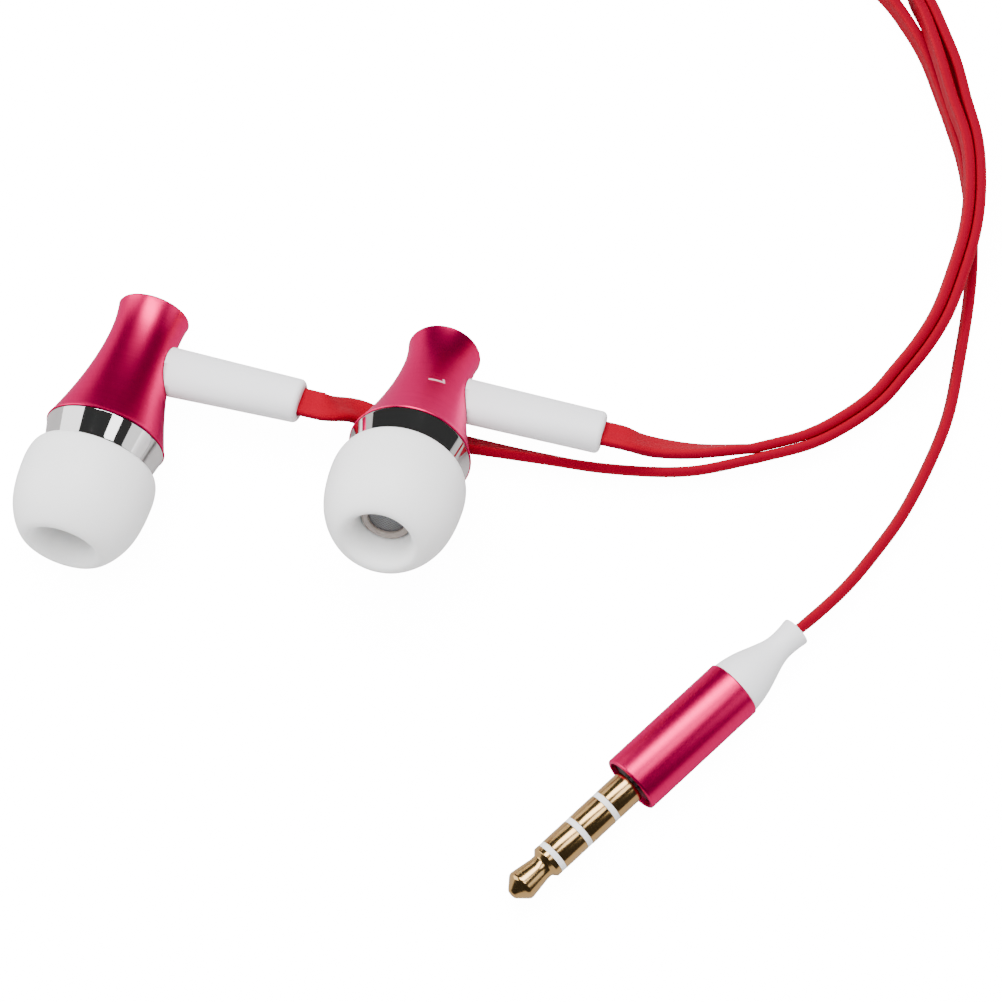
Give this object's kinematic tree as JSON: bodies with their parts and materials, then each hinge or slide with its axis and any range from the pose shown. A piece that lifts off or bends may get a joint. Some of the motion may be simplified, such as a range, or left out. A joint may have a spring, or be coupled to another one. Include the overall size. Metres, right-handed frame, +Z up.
{
  "type": "wired earphones",
  "caption": "Wired in-ear earphones: two flared buds with removable soft tips, flat leads, an in-line remote, a coiled main cord and a straight audio plug.",
  "frame": {"origin": "the middle of the box around the two buds (their barrels, rings, tips, nozzles and stems), at the height of the table they lie on", "axes": "+X from the right bud towards the left bud, +Y from the tips towards the coil of cord, +Z up from the table"},
  "size_m": [0.098, 0.1519, 0.0197],
  "materials": {
    "aluminium_red": "anodised, glossy",
    "trim_chrome": "polished",
    "tip_silicone": "matte, slightly translucent",
    "nozzle_plastic": "matte",
    "mesh_steel": "fine woven mesh",
    "white_rubber": "matte",
    "cord_red": "satin",
    "tie_silicone": "matte",
    "remote_white": "matte",
    "remote_button": "satin",
    "circuit_board": "satin",
    "small_parts_black": "matte",
    "microphone_can": "satin",
    "driver_steel": "satin",
    "driver_frame_plastic": "matte",
    "magnet": "satin",
    "coil_copper": "enamelled",
    "diaphragm_film": "thin film",
    "contact_gold": "gold plated, polished",
    "insulator_white": "satin",
    "jack_core_brass": "plain",
    "plug_body_plastic": "matte"
  },
  "bodies": {
    "earphones": {"barrel_left": "aluminium_red", "barrel_right": "aluminium_red", "plug_shell": "aluminium_red", "trim_ring_left": "trim_chrome", "trim_ring_right": "trim_chrome", "nozzle_left": "nozzle_plastic", "nozzle_right": "nozzle_plastic", "nozzle_mesh_left": "mesh_steel", "nozzle_mesh_right": "mesh_steel", "cable_stem_left": "white_rubber", "cable_stem_right": "white_rubber", "plug_strain_relief": "white_rubber", "lead_left": "cord_red", "lead_right": "cord_red", "lead_tail_left": "cord_red", "lead_tail_right": "cord_red", "main_cord": "cord_red", "main_cord_head": "cord_red", "main_cord_coil": "cord_red", "leads_coil": "cord_red", "coil_tie": "tie_silicone", "remote_back_cover": "remote_white", "remote_front_cover": "remote_white", "driver_board_left": "circuit_board", "driver_board_right": "circuit_board", "remote_board": "circuit_board", "remote_switch": "small_parts_black", "remote_microphone": "microphone_can", "driver_yoke_left": "driver_steel", "driver_yoke_right": "driver_steel", "driver_plate_left": "driver_steel", "driver_plate_right": "driver_steel", "driver_frame_left": "driver_frame_plastic", "driver_frame_right": "driver_frame_plastic", "driver_magnet_left": "magnet", "driver_magnet_right": "magnet", "jack_sleeve_contact": "contact_gold", "jack_ring_2": "contact_gold", "jack_ring_1": "contact_gold", "jack_tip": "contact_gold", "jack_insulator_1": "insulator_white", "jack_insulator_2": "insulator_white", "jack_insulator_3": "insulator_white", "jack_core": "jack_core_brass", "plug_body": "plug_body_plastic"},
    "ear_tip_left": {"ear_tip_left": "tip_silicone"},
    "diaphragm_left": {"diaphragm_left": "diaphragm_film", "voice_coil_left": "coil_copper"},
    "ear_tip_right": {"ear_tip_right": "tip_silicone"},
    "diaphragm_right": {"diaphragm_right": "diaphragm_film", "voice_coil_right": "coil_copper"},
    "remote_button": {"remote_button": "remote_button"}
  },
  "joints": [
    {"name": "ear_tip_left_pull", "type": "slide", "parent": "earphones", "child": "ear_tip_left", "axis": [-0.222, -0.8709, 0.4384], "range_m": [0, 0.009]},
    {"name": "diaphragm_left_travel", "type": "slide", "parent": "earphones", "child": "diaphragm_left", "axis": [-0.222, -0.8709, 0.4384], "range_m": [-0.00015, 0.00015], "stiffness_N_per_m": 30},
    {"name": "ear_tip_right_pull", "type": "slide", "parent": "earphones", "child": "ear_tip_right", "axis": [-0.2924, -0.9445, 0.1495], "range_m": [0, 0.009]},
    {"name": "diaphragm_right_travel", "type": "slide", "parent": "earphones", "child": "diaphragm_right", "axis": [-0.2924, -0.9445, 0.1495], "range_m": [-0.00015, 0.00015], "stiffness_N_per_m": 30},
    {"name": "remote_button_press", "type": "slide", "parent": "earphones", "child": "remote_button", "axis": [0, 0, -1], "range_m": [0, 0.0003], "stiffness_N_per_m": 400}
  ]
}
